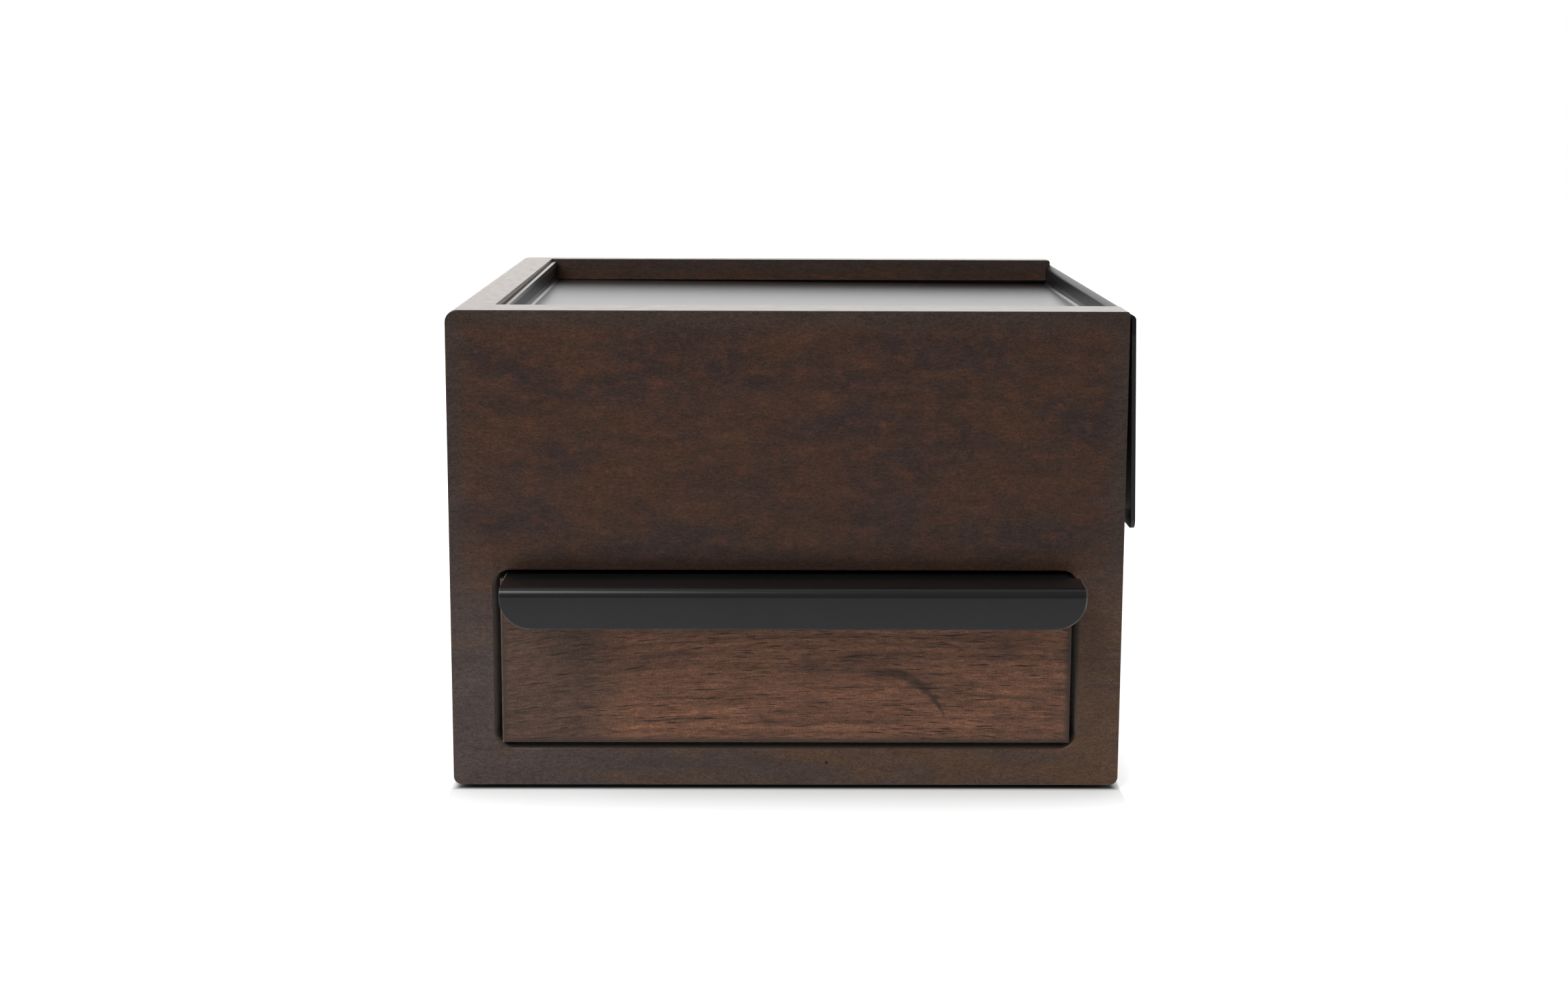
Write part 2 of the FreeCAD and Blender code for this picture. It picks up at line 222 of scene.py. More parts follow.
def painted_haze_round_drawer(tree, place, spot, tone):
    """Painted reflection: a paler face round the drawer, most low down, greyer left, browner right."""
    right = add(
        tree, "ShaderNodeMapRange", {}, {"Value": spot[0], "From Min": greyest_x, "From Max": brownest_x}
    )
    drift = patches(tree, place, (18, 18, 4), seed=11.0, low=0.3, high=0.7, detail=3.0)
    drift = add(
        tree, "ShaderNodeMapRange", {}, {"Value": drift, "To Min": -drift_reach, "To Max": drift_reach}
    )
    right = add(tree, "ShaderNodeMath", {"operation": "ADD", "use_clamp": True}, {0: right, 1: drift})
    hazed_tone = add(
        tree, "ShaderNodeMix", mix_colours, {0: right, 6: colour("#473c39"), 7: colour("#58402f")}, 2
    )
    # Painted reflection: the face turns paler lower down, towards the white sheet.
    low_down = add(
        tree, "ShaderNodeMapRange", {}, {"Value": spot[2], "From Min": painted_haze_top, "From Max": painted_haze_full}
    )
    face = add(
        tree, "ShaderNodeMapRange", {}, {"Value": spot[1], "From Min": face_start, "From Max": face_full}
    )
    paler = add(tree, "ShaderNodeMath", multiply, {0: low_down, 1: face})
    paler = add(tree, "ShaderNodeMath", multiply, {0: paler, 1: painted_haze_share})
    return add(tree, "ShaderNodeMix", mix_colours, {0: paler, 6: tone, 7: hazed_tone}, 2)


def painted_shade_over_opening(tree, spot, tone):
    """Painted shade in the band along the top of the opening, where the pull keeps light off."""
    above = add(
        tree,
        "ShaderNodeMapRange",
        soft_ends,
        {
            "Value": spot[2],
            "From Min": painted_shade_top,
            "From Max": opening_high[2],
            "To Max": painted_shade_share,
        },
    )
    width = add(tree, "ShaderNodeMath", {"operation": "ABSOLUTE"}, {0: spot[0]})
    within = add(
        tree,
        "ShaderNodeMapRange",
        soft_ends,
        {"Value": width, "From Min": painted_shade_end, "From Max": painted_shade_full},
    )
    dark = add(tree, "ShaderNodeMath", multiply, {0: above, 1: within})
    over = add(tree, "ShaderNodeMath", {"operation": "GREATER_THAN"}, {0: spot[2], 1: opening_high[2]})
    dark = add(tree, "ShaderNodeMath", multiply, {0: dark, 1: over})
    return add(tree, "ShaderNodeMix", mix_colours, {0: dark, 6: tone, 7: colour("#2c1d15")}, 2)


def painted_shade_in_cuts(tree, place, tone):
    """Painted shade: black in the pin hole and on the opening's cut edges."""
    from_pin = add(tree, "ShaderNodeVectorMath", {"operation": "DISTANCE"}, {0: place, 1: pin_hole}, 1)
    pin = add(
        tree,
        "ShaderNodeMapRange",
        {},
        {"Value": from_pin, "From Min": pin_hole_radius, "From Max": pin_hole_radius / 2},
    )
    tone = add(tree, "ShaderNodeMix", mix_colours, {0: pin, 6: tone, 7: colour(gap_shade_black)}, 2)
    # Nothing else of the panel lies within the opening's bounds, behind the face.
    inside = depths(tree, place, opening_low, opening_high)
    least = add(tree, "ShaderNodeMath", {"operation": "MINIMUM"}, {0: inside[0], 1: inside[2]})
    least = add(tree, "ShaderNodeMath", {"operation": "MINIMUM"}, {0: least, 1: inside[1]})
    cut = add(tree, "ShaderNodeMapRange", {}, {"Value": least, "From Max": cut_edge})
    return add(tree, "ShaderNodeMix", mix_colours, {0: cut, 6: tone, 7: colour(gap_shade_black)}, 2)


def front_stain_and_painted_light(tree, place, tone):
    """What sets the front apart: painted reflection round the drawer, painted shade over and in the
    opening.
    """
    spot = add(tree, "ShaderNodeSeparateXYZ", {}, {0: place}).node.outputs
    tone = painted_haze_round_drawer(tree, place, spot, tone)
    tone = painted_shade_over_opening(tree, spot, tone)
    return painted_shade_in_cuts(tree, place, tone)


def along_x(along, across):
    """Size of a pattern whose grain runs along x."""
    return (along, across, across)


def along_y(along, across):
    """Size of a pattern whose grain runs along y."""
    return (across, along, across)


def paint(material, *names):
    """Gives a material to CAD nodes that are shown as they are."""
    for name in names:
        nodes[name].material_slots[0].material = material


paint(espresso_wood("espresso_rubberwood_front", "front_panel", along_x, front_stain_and_painted_light), "front_panel")
paint(espresso_wood("espresso_rubberwood_back", "back_panel", along_x), "back_panel")
paint(espresso_wood("espresso_rubberwood_left", "left_wall", along_y), "left_wall")
paint(espresso_wood("espresso_rubberwood_right", "right_wall", along_y), "right_wall")

# ---------------- Inner boards
# Two plywood boards let into grooves in the panels: the base under the drawer, and the floor of the ring
# compartment. They are stained with the case but not lacquered.


def stained_ply(name):
    """Rotary-cut plywood face, wide bands under fine fibres, dulled by stain alone."""
    material, tree, place = start_material(name)
    streak = patches(tree, place, (40, 6, 6), seed=5.0, low=0.3, high=0.7, detail=4.0)
    tone = add(
        tree, "ShaderNodeMix", mix_colours, {0: streak, 6: colour("#30231b"), 7: colour("#402e22")}, 2
    )
    fibre = patches(tree, place, (5, 0.5, 0.5), seed=6.0, low=0.3, high=0.7, detail=3.0)
    shade = add(tree, "ShaderNodeMapRange", {}, {"Value": fibre, "To Min": 0.8, "To Max": 1.2})
    tone = add(tree, "ShaderNodeVectorMath", {"operation": "SCALE"}, {0: tone, "Scale": shade})
    end_material(tree, fibre, 0.04, {"Base Color": tone, "Roughness": 0.6})
    return material


board_wood = stained_ply("stained_plywood")
paint(board_wood, "base_board", "shelf_board")

# ---------------- Feet, runners and bumpers
# Die-cut black rubber discs under the corners, nylon tape for the drawer to slide on, and black felt
# discs that the drawer and the lid's panel close against. All are stuck on.


def moulded_rubber():
    """Black rubber with a fine grit and no gloss."""
    material, tree, place = start_material("black_foot_rubber")
    grit = patches(tree, place, (0.3, 0.3, 0.3), seed=1.0, low=0.3, high=0.7)
    tone = add(
        tree, "ShaderNodeMix", mix_colours, {0: grit, 6: colour("#1c1c1c"), 7: colour("#262625")}, 2
    )
    end_material(tree, grit, 0.03, {"Base Color": tone, "Roughness": 0.75})
    return material


def nylon_tape():
    """Undyed nylon, scuffed along the way that the drawer slides."""
    material, tree, place = start_material("natural_nylon")
    scuff = patches(tree, place, (0.4, 9, 0.4), seed=1.0, low=0.45, high=0.6)
    tone = add(
        tree, "ShaderNodeMix", mix_colours, {0: scuff, 6: colour("#e2dfd6"), 7: colour("#d2cdc2")}, 2
    )
    end_material(tree, scuff, 0.01, {"Base Color": tone, "Roughness": 0.35})
    return material


def black_felt():
    """Pressed black felt, with short pale hairs in it."""
    material, tree, place = start_material("pressed_felt")
    hairs = patches(tree, place, (0.25, 0.25, 0.25), seed=1.0, low=0.35, high=0.65, detail=3.0)
    tone = add(
        tree, "ShaderNodeMix", mix_colours, {0: hairs, 6: colour("#121212"), 7: colour("#303030")}, 2
    )
    end_material(tree, hairs, 0.12, {"Base Color": tone, "Roughness": 0.95, "Sheen Weight": 0.4})
    return material


feet = ["foot_" + corner for corner in ("front_left", "front_right", "back_left", "back_right")]
paint(moulded_rubber(), *feet)
paint(nylon_tape(), "runner_left", "runner_right")
paint(black_felt(), "drawer_bumpers", "panel_bumpers")

# ---------------- Compartment linings
# Thin boards wrapped in natural linen and pushed in to line the ring compartment: one on the floor and
# one on each wall. The cloth goes round the boards' edges, so these are soft.
thread_pitch = 0.62
thread_wander = 0.5
wander_scale = 0.25
board_rounding = 0.45
linen_pale = "#d0c6b4"
linen_deep = "#a4977f"
lined_faces = ("floor", "front", "back", "left", "right")
crease_angle = math.radians(50)


def linen(name, seed):
    """Plain-woven natural linen with slubs; the weave follows the piece's own UV map, in millimetres."""
    material, tree, place = start_material(name)
    threads = add(tree, "ShaderNodeUVMap", {"uv_map": "cloth_mm"})
    # Threads wander a little and swell into slubs. The pitch is drawn slightly coarse, so that it shows.
    wander = add(
        tree, "ShaderNodeTexNoise", {}, {"Vector": place, "Scale": wander_scale, "Detail": 2.0}, out=1
    )
    shift = add(tree, "ShaderNodeVectorMath", {"operation": "SCALE"}, {0: wander, "Scale": thread_wander})
    cloth = add(tree, "ShaderNodeVectorMath", {"operation": "ADD"}, {0: threads, 1: shift})
    turns = add(
        tree, "ShaderNodeVectorMath", {"operation": "SCALE"}, {0: cloth, "Scale": math.pi / thread_pitch}
    )
    wave = add(tree, "ShaderNodeVectorMath", {"operation": "SINE"}, {0: turns})
    split = add(tree, "ShaderNodeSeparateXYZ", {}, {0: wave}).node.outputs
    over = add(tree, "ShaderNodeMath", multiply, {0: split[0], 1: split[1]})
    warp = add(tree, "ShaderNodeMath", {"operation": "ABSOLUTE"}, {0: split[0]})
    weft = add(tree, "ShaderNodeMath", {"operation": "ABSOLUTE"}, {0: split[1]})
    on_top = add(tree, "ShaderNodeMapRange", {}, {"Value": over, "From Min": -0.3, "From Max": 0.3})
    height = add(tree, "ShaderNodeMix", {}, {0: on_top, 2: warp, 3: weft})
    slub = patches(tree, place, (6, 6, 1.2), seed=seed, low=0.35, high=0.75, detail=3.0)
    # Partly painted shade: the weave's hollows darker and its thread tops paler; slubs are paler in their
    # own right.
    weave_shade_and_slubs = add(tree, "ShaderNodeMath", multiply, {0: height, 1: 0.75})
    weave_shade_and_slubs = add(tree, "ShaderNodeMath", {"operation": "MULTIPLY_ADD"}, {0: slub, 1: 0.35, 2: weave_shade_and_slubs})
    tone = add(
        tree, "ShaderNodeMix", mix_colours, {0: weave_shade_and_slubs, 6: colour(linen_deep), 7: colour(linen_pale)}, 2
    )
    end_material(tree, height, 0.12, {"Base Color": tone, "Roughness": 0.85, "Sheen Weight": 0.25})
    return material


def lay_cloth(mesh):
    """UV map in millimetres, laid on each face from the side that it faces most."""
    layer = mesh.uv_layers.new(name="cloth_mm")
    for face in mesh.polygons:
        axis = max(range(3), key=lambda i: abs(face.normal[i]))
        across, along = [i for i in range(3) if i != axis]
        for corner in face.loop_indices:
            point = mesh.vertices[mesh.loops[corner].vertex_index].co / mm
            layer.data[corner].uv = (point[across], point[along])


def add_piece(name, mesh, body, slot, material, *nodes_replaced):
    """Puts a finished mesh in the scene as a piece that stands for CAD nodes."""
    piece = bpy.data.objects.new(name, mesh)
    bpy.context.scene.collection.objects.link(piece)
    mesh.materials.clear()
    mesh.materials.append(material)
    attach(piece, body)
    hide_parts(*nodes_replaced)
    return piece


def wrapped_board(node, body, material, rounding):
    """Cloth-covered board in the place of a CAD board, its arrises rounded by the cloth."""
    low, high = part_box(node)
    shape = bmesh.new()
    bmesh.ops.create_cube(shape, size=1.0)
    for vert in shape.verts:
        vert.co = Vector((low[i] + high[i]) / 2 + vert.co[i] * (high[i] - low[i]) for i in range(3))
    bmesh.ops.bevel(
        shape,
        geom=shape.edges[:],
        offset=rounding * mm,
        segments=3,
        profile=0.5,
        affect="EDGES",
    )
    mesh = bpy.data.meshes.new(node + "_cloth")
    shape.to_mesh(mesh)
    shape.free()
    lay_cloth(mesh)
    mesh.shade_smooth()
    mesh.set_sharp_from_angle(angle=crease_angle)
    add_piece(node + "_cloth", mesh, body, "linen_board", material, node)


linen_over_board = linen("woven_linen", 1.0)
for face in lined_faces:
    wrapped_board("compartment_lining_" + face, "case", linen_over_board, board_rounding)

# ---------------- Ring rolls
# Seven foam rolls in linen sleeves, packed side by side so that rings stand in the slits between them.
# A sleeve is wrapped once round its foam, which fills it, and is closed over the foam's ends.
roll_count = 7
roll_voxel = 1.5
roll_slack = 0.9
roll_weld = 0.01
cloth_steps = 20
# Dents in a sleeve: their length, height and depth, and how far apart two rolls' dents are drawn.
dent_length = 11.0
dent_height = 9.0
dent_depth = 0.35
dent_stride = 7.3
# A face that looks this much along x is part of a roll's end. Past this turn it is over the seam.
end_facing = 0.75
seam_turn = 3.0


def shrunk_roll():
    """The first roll's solid made smaller by the sleeve's slack, with an even net of faces."""
    low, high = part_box("ring_roll_1")
    middle = (low + high) / 2
    source = nodes["ring_roll_1"].data
    mesh = bpy.data.meshes.new("roll_start")
    shape = bmesh.new()
    shape.from_mesh(source)
    bmesh.ops.remove_doubles(shape, verts=shape.verts[:], dist=roll_weld * mm)
    for vert in shape.verts:
        for i in range(3):
            half = (high[i] - low[i]) / 2
            vert.co[i] = middle[i] + (vert.co[i] - middle[i]) * (half - roll_slack * mm) / half
    shape.to_mesh(mesh)
    shape.free()
    roll = bpy.data.objects.new("roll_start", mesh)
    bpy.context.scene.collection.objects.link(roll)
    remesh = roll.modifiers.new("remesh", "REMESH")
    remesh.mode = "VOXEL"
    remesh.voxel_size = roll_voxel * mm
    remesh.use_smooth_shade = True
    evaluated = roll.evaluated_get(bpy.context.evaluated_depsgraph_get())
    start = bpy.data.meshes.new_from_object(evaluated)
    roll.modifiers.clear()
    roll.data = start
    return roll


def blown_up(roll):
    """Where the net's points go when it is blown up as cloth."""
    cloth = roll.modifiers.new("cloth", "CLOTH")
    cloth.settings.use_pressure = True
    cloth.settings.uniform_pressure_force = 4.0
    cloth.settings.mass = 0.05
    cloth.settings.tension_stiffness = 25.0
    cloth.settings.compression_stiffness = 25.0
    cloth.settings.bending_stiffness = 0.5
    cloth.settings.effector_weights.gravity = 0.0
    cloth.collision_settings.use_collision = False
    scene = bpy.context.scene
    for step in range(1, cloth_steps + 1):
        scene.frame_set(step)
    evaluated = roll.evaluated_get(bpy.context.evaluated_depsgraph_get())
    moved = [v.co.copy() for v in evaluated.data.vertices]
    roll.modifiers.clear()
    scene.frame_set(1)
    return moved


def swollen_roll():
    """Mesh of the first roll's sleeve, none of whose points moves further than the slack."""
    roll = shrunk_roll()
    rest = [v.co.copy() for v in roll.data.vertices]
    moved = blown_up(roll)
    for vert, before, after in zip(roll.data.vertices, rest, moved):
        step = after - before
        if step.length > roll_slack * mm:
            step *= roll_slack * mm / step.length
        vert.co = before + step
    finer = roll.modifiers.new("finer", "SUBSURF")
    finer.levels = finer.render_levels = 1
    evaluated = roll.evaluated_get(bpy.context.evaluated_depsgraph_get())
    result = bpy.data.meshes.new_from_object(evaluated)
    roll.modifiers.clear()
    bpy.data.objects.remove(roll)
    return result


def wrap_cloth(mesh, low, high):
    """UV map in millimetres, wrapped round a roll and laid flat on its ends."""
    middle = (low + high) / 2
    layer = mesh.uv_layers.new(name="cloth_mm")
    radius = (high.y - low.y) / 2 / mm
    for face in mesh.polygons:
        for corner in face.loop_indices:
            point = mesh.vertices[mesh.loops[corner].vertex_index].co
            if abs(face.normal.x) > end_facing:
                layer.data[corner].uv = (point.y / mm, point.z / mm)
            else:
                turn = math.atan2(point.y - middle.y, point.z - middle.z)
                if face.center.y < middle.y and turn > seam_turn:
                    turn -= 2 * math.pi
                layer.data[corner].uv = (point.x / mm, turn * radius)


roll_linen = linen("woven_linen_sleeve", 2.0)
roll_mesh = swollen_roll()
first_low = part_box("ring_roll_1")[0]
for number in range(1, roll_count + 1):
    solid = "ring_roll_" + str(number)
    sleeve = "ring_roll_sleeve_" + str(number)
    low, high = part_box(solid)
    mesh = roll_mesh.copy()
    mesh.name = sleeve
    middle = (low + high) / 2
    for vert in mesh.vertices:
        point = vert.co + (low - first_low)
        # Slack in the sleeve: shallow dents that differ from roll to roll.
        cell = (point.x / (dent_length * mm), number * dent_stride, point.z / (dent_height * mm))
        ripple = noise.noise(Vector(cell))
        out = Vector((0, point.y - middle.y, point.z - middle.z)).normalized()
        point = point + out * ripple * dent_depth * mm
        point.z = max(point.z, low.z)
        vert.co = point
    wrap_cloth(mesh, low, high)
    mesh.shade_smooth()
    roll = add_piece(sleeve, mesh, "case", "roll_linen", roll_linen, solid)

# ---------------- Ring divider
# A loose board wrapped in the same linen, standing between the ends of the rolls and the open tray
# beside them. It is thicker than the linings, so the cloth turns more softly round its edges.
divider_rounding = 0.9
wrapped_board("ring_divider", "case", linen_over_board, divider_rounding)

# ---------------- Sliding lid
# One sheet of steel, folded along its left and right sides and hemmed down the outside, then powder
# coated satin black. It has no fixings: its front and back edges run in the panels' grooves.
lid_arris = 0.18
lid_haze = 0.3
sheet_weld = 0.005
flat_angle = math.radians(0.5)
arris_angle = math.radians(35)
shade_angle = math.radians(20)
# A twisted sheet is cut along a square grid first, so that its flat faces can follow.
grid_step = 10.0
grid_cuts = 8


def powder_coat(name, haze, film=1.0, pale_marks=None):
    """Black powder coat: a fine orange peel under a soft gloss, hazier where it is less handled."""
    material, tree, place = start_material(name)
    peel = patches(tree, place, (0.8, 0.8, 0.8), seed=1.0, low=0.3, high=0.7, detail=1.0)
    cloud = patches(tree, place, (30, 30, 30), seed=2.0, low=0.3, high=0.7, detail=3.0)
    dust = patches(tree, place, (0.5, 0.5, 0.5), seed=3.0, low=0.73, high=0.8, detail=2.0)
    tone = add(
        tree, "ShaderNodeMix", mix_colours, {0: cloud, 6: colour("#101013"), 7: colour("#151517")}, 2
    )
    tone = add(tree, "ShaderNodeMix", mix_colours, {0: dust, 6: tone, 7: colour("#3c3b3d")}, 2)
    if pale_marks:
        tone = pale_marks(tree, place, tone)
    end_material(
        tree,
        peel,
        0.0015,
        {
            "Base Color": tone,
            "Roughness": haze + 0.1,
            "Specular IOR Level": 0.15,
            "Coat Weight": film(tree, place) if callable(film) else film,
            "Coat IOR": 1.4,
            "Coat Roughness": haze,
        },
    )
    return material


def softened(name, node, body, slot, material, arris, lift=None):
    """Copy of a sheet solid with its sharp arrises eased; lift raises the points of an untrue sheet."""
    shape = bmesh.new()
    shape.from_mesh(nodes[node].data)
    bmesh.ops.remove_doubles(shape, verts=shape.verts[:], dist=sheet_weld * mm)
    bmesh.ops.dissolve_limit(shape, angle_limit=flat_angle, verts=shape.verts[:], edges=shape.edges[:])
    sharp = [e for e in shape.edges if e.is_manifold and e.calc_face_angle() > arris_angle]
    bmesh.ops.bevel(
        shape,
        geom=sharp,
        offset=arris * mm,
        segments=3,
        profile=0.5,
        affect="EDGES",
        clamp_overlap=True,
    )
    if lift:
        for axis in (0, 1):
            normal = Vector((0, 0, 0))
            normal[axis] = 1
            for step in range(-grid_cuts, grid_cuts + 1):
                whole = shape.verts[:] + shape.edges[:] + shape.faces[:]
                line = normal * step * grid_step * mm
                bmesh.ops.bisect_plane(shape, geom=whole, plane_co=line, plane_no=normal)
        for vert in shape.verts:
            vert.co.z += lift(vert.co)
    mesh = bpy.data.meshes.new(name)
    shape.to_mesh(mesh)
    shape.free()
    mesh.shade_smooth()
    mesh.set_sharp_from_angle(angle=shade_angle)
    piece = add_piece(name, mesh, body, slot, material, node)
    even = piece.modifiers.new("even_shading", "WEIGHTED_NORMAL")
    even.keep_sharp = True
    return piece


# The folded sheet lies a little twisted in the slack of its grooves: two opposite corners ride high.
groove_slack = 1.0
tray_low, tray_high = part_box("lid_tray")


def twist(point):
    """Lift of the sheet at a point, from nothing to all of the grooves' slack."""
    across = 2 * (point.x - tray_low.x) / (tray_high.x - tray_low.x) - 1
    along = 2 * (point.y - tray_low.y) / (tray_high.y - tray_low.y) - 1
    return groove_slack * mm * (1 - across * along) / 2


# The powder takes thinly up the insides of the two flanges, and hands have dulled the right one's crown.
flange_z = tray_high.z / mm - 4.3
crown_z = tray_high.z / mm - 0.2
crown_height = 0.8
outside_x = tray_high.x / mm - 0.56
bare_wall_film = 0.12
film_fade = 0.5
left_crown_film, right_crown_film = 8.0, 0.8
left_crown_x, right_crown_x = -60.0, 60.0


def thin_film(tree, place):
    """Weight of the gloss: 1 on the floor and the outside, less up the flanges and on the right crown."""
    spot = add(tree, "ShaderNodeSeparateXYZ", {}, {0: place}).node.outputs
    wall = add(
        tree,
        "ShaderNodeMapRange",
        {},
        {
            "Value": spot[2],
            "From Min": flange_z,
            "From Max": flange_z + 2 * film_fade,
            "To Min": 1.0,
            "To Max": bare_wall_film,
        },
    )
    on_crown = add(
        tree,
        "ShaderNodeMapRange",
        {},
        {
            "Value": spot[0],
            "From Min": left_crown_x,
            "From Max": right_crown_x,
            "To Min": left_crown_film,
            "To Max": right_crown_film,
        },
    )
    crown = add(
        tree,
        "ShaderNodeMapRange",
        {},
        {
            "Value": spot[2],
            "From Min": crown_z - crown_height,
            "From Max": crown_z,
            "To Min": 1.0,
            "To Max": on_crown,
        },
    )
    inside = add(tree, "ShaderNodeMath", multiply, {0: wall, 1: crown})
    outside = add(
        tree,
        "ShaderNodeMapRange",
        {},
        {"Value": spot[0], "From Min": outside_x - film_fade, "From Max": outside_x + film_fade},
    )
    return add(tree, "ShaderNodeMath", {"operation": "MAXIMUM"}, {0: inside, 1: outside})


black_coat = powder_coat("black_powder_coat", lid_haze, thin_film)
softened("sliding_lid", "lid_tray", "lid", "black_steel", black_coat, lid_arris, twist)

# ---------------- Drawer box
# Sides and back of solid wood and a bottom of thin ply let into grooves, glued up and stained like the
# case, with no lacquer over the stain.


def stained_plank(name, lay):
    """Planed plank under stain alone, with its fibres along the grain."""
    material, tree, place = start_material(name)
    cloud = patches(tree, place, lay(22, 7), seed=7.0, low=0.35, high=0.65, detail=4.0)
    tone = add(
        tree, "ShaderNodeMix", mix_colours, {0: cloud, 6: colour("#2f231c"), 7: colour("#3e2c20")}, 2
    )
    fibre = patches(tree, place, lay(4, 0.4), seed=8.0, low=0.3, high=0.7, detail=3.0)
    shade = add(tree, "ShaderNodeMapRange", {}, {"Value": fibre, "To Min": 0.75, "To Max": 1.25})
    tone = add(tree, "ShaderNodeVectorMath", {"operation": "SCALE"}, {0: tone, "Scale": shade})
    end_material(tree, fibre, 0.04, {"Base Color": tone, "Roughness": 0.55})
    return material


paint(stained_plank("stained_side_plank", along_y), "drawer_side_left", "drawer_side_right")
paint(stained_plank("stained_back_plank", along_x), "drawer_back")
paint(board_wood, "drawer_bottom")

# ---------------- Drawer front
# A solid board of open-grained acacia, stained brown so that its long pores stay dark, and lacquered. It
# is glued over the ends of the drawer's sides. Its face is darker along its edges, with pale dots on
# them.
board_low, board_high = corners_mm("drawer_front")
board_rim = 2.2
board_arris = 0.4
# The growth lines rise from the left, level off past the middle and fall a little at the right.
crest_x = board_low[0] + 90.7
arch_bow = 0.0006
line_wander = 2.4
# The board's left end took more stain, up to this far from its edge.
dark_end_full, dark_end_start = board_low[0] + 18.7, board_low[0] + 34.7
dark_end_share = 0.75
# A dark streak follows an arc. It begins at the right, swells, and ends past the top of the arc.
streak_x = board_low[0] + 92.7
streak_z = board_low[2] + 2.2
streak_radius = 16.5
streak_ragged = 1.4
streak_edge, streak_core = 1.4, 0.3
streak_thin, streak_thick = 0.4, 2.0
streak_share = 0.66
swell_start, swell_full = math.radians(20), math.radians(95)
tail_start, tail_full = math.radians(10), math.radians(24)
head_end, head_full = math.radians(112), math.radians(92)


def dark_streak(tree, place):
    """Comma-shaped streak in the board's face, thick at one end."""
    centre = (streak_x, 0, streak_z)
    from_centre = add(tree, "ShaderNodeVectorMath", subtract, {0: place, 1: centre})
    flat = add(tree, "ShaderNodeVectorMath", multiply, {0: from_centre, 1: (1, 0, 1)})
    radius = add(tree, "ShaderNodeVectorMath", {"operation": "LENGTH"}, {0: flat}, 1)
    parts = add(tree, "ShaderNodeSeparateXYZ", {}, {0: flat}).node.outputs
    angle = add(tree, "ShaderNodeMath", {"operation": "ARCTAN2"}, {0: parts[2], 1: parts[0]})
    ragged = patches(tree, place, (5, 5, 1.2), seed=7.0, low=0.3, high=0.7, detail=3.0)
    ragged = add(tree, "ShaderNodeMath", multiply, {0: ragged, 1: streak_ragged})
    off = add(tree, "ShaderNodeMath", subtract, {0: radius, 1: streak_radius})
    off = add(tree, "ShaderNodeMath", {"operation": "ADD"}, {0: off, 1: ragged})
    off = add(tree, "ShaderNodeMath", {"operation": "ABSOLUTE"}, {0: off})
    half = add(
        tree,
        "ShaderNodeMapRange",
        {},
        {
            "Value": angle,
            "From Min": swell_start,
            "From Max": swell_full,
            "To Min": streak_thin,
            "To Max": streak_thick,
        },
    )
    inside = add(tree, "ShaderNodeMath", {"operation": "DIVIDE"}, {0: off, 1: half})
    across = add(
        tree,
        "ShaderNodeMapRange",
        soft_ends,
        {"Value": inside, "From Min": streak_edge, "From Max": streak_core},
    )
    start = add(
        tree,
        "ShaderNodeMapRange",
        soft_ends,
        {"Value": angle, "From Min": tail_start, "From Max": tail_full},
    )
    end = add(
        tree,
        "ShaderNodeMapRange",
        soft_ends,
        {"Value": angle, "From Min": head_end, "From Max": head_full},
    )
    along = add(tree, "ShaderNodeMath", multiply, {0: start, 1: end})
    streak = add(tree, "ShaderNodeMath", multiply, {0: across, 1: along})
    return add(tree, "ShaderNodeMath", multiply, {0: streak, 1: streak_share})


def growth_lines(tree, place, spot):
    """The place laid flat along the growth lines, so that a pattern on it follows them."""
    from_crest = add(tree, "ShaderNodeMath", subtract, {0: spot[0], 1: crest_x})
    square = add(tree, "ShaderNodeMath", multiply, {0: from_crest, 1: from_crest})
    arch = add(tree, "ShaderNodeMath", multiply, {0: square, 1: arch_bow})
    flat_z = add(tree, "ShaderNodeMath", {"operation": "ADD"}, {0: spot[2], 1: arch})
    wander = patches(tree, place, (24, 24, 7), seed=4.0, low=0.0, high=1.0, detail=2.0)
    wander = add(tree, "ShaderNodeMath", multiply, {0: wander, 1: line_wander})
    flat_z = add(tree, "ShaderNodeMath", {"operation": "ADD"}, {0: flat_z, 1: wander})
    return add(tree, "ShaderNodeCombineXYZ", {}, {0: spot[0], 1: spot[1], 2: flat_z})


def darker_edges_pale_dots(tree, place, tone):
    """Darker along the board's edges, with pale dots and dashes on its arrises."""
    rim = near_edge(tree, place, board_low, board_high, board_rim)
    tone = add(tree, "ShaderNodeMix", mix_colours, {0: rim, 6: tone, 7: colour("#3d302a")}, 2)
    arris = near_edge(tree, place, board_low, board_high, board_arris)
    dashes = patches(tree, place, (0.7, 0.7, 0.7), seed=6.0, low=0.35, high=0.65, detail=3.0)
    pale_marks = add(tree, "ShaderNodeMath", multiply, {0: arris, 1: dashes})
    return add(tree, "ShaderNodeMix", mix_colours, {0: pale_marks, 6: tone, 7: colour("#8d7c70")}, 2)


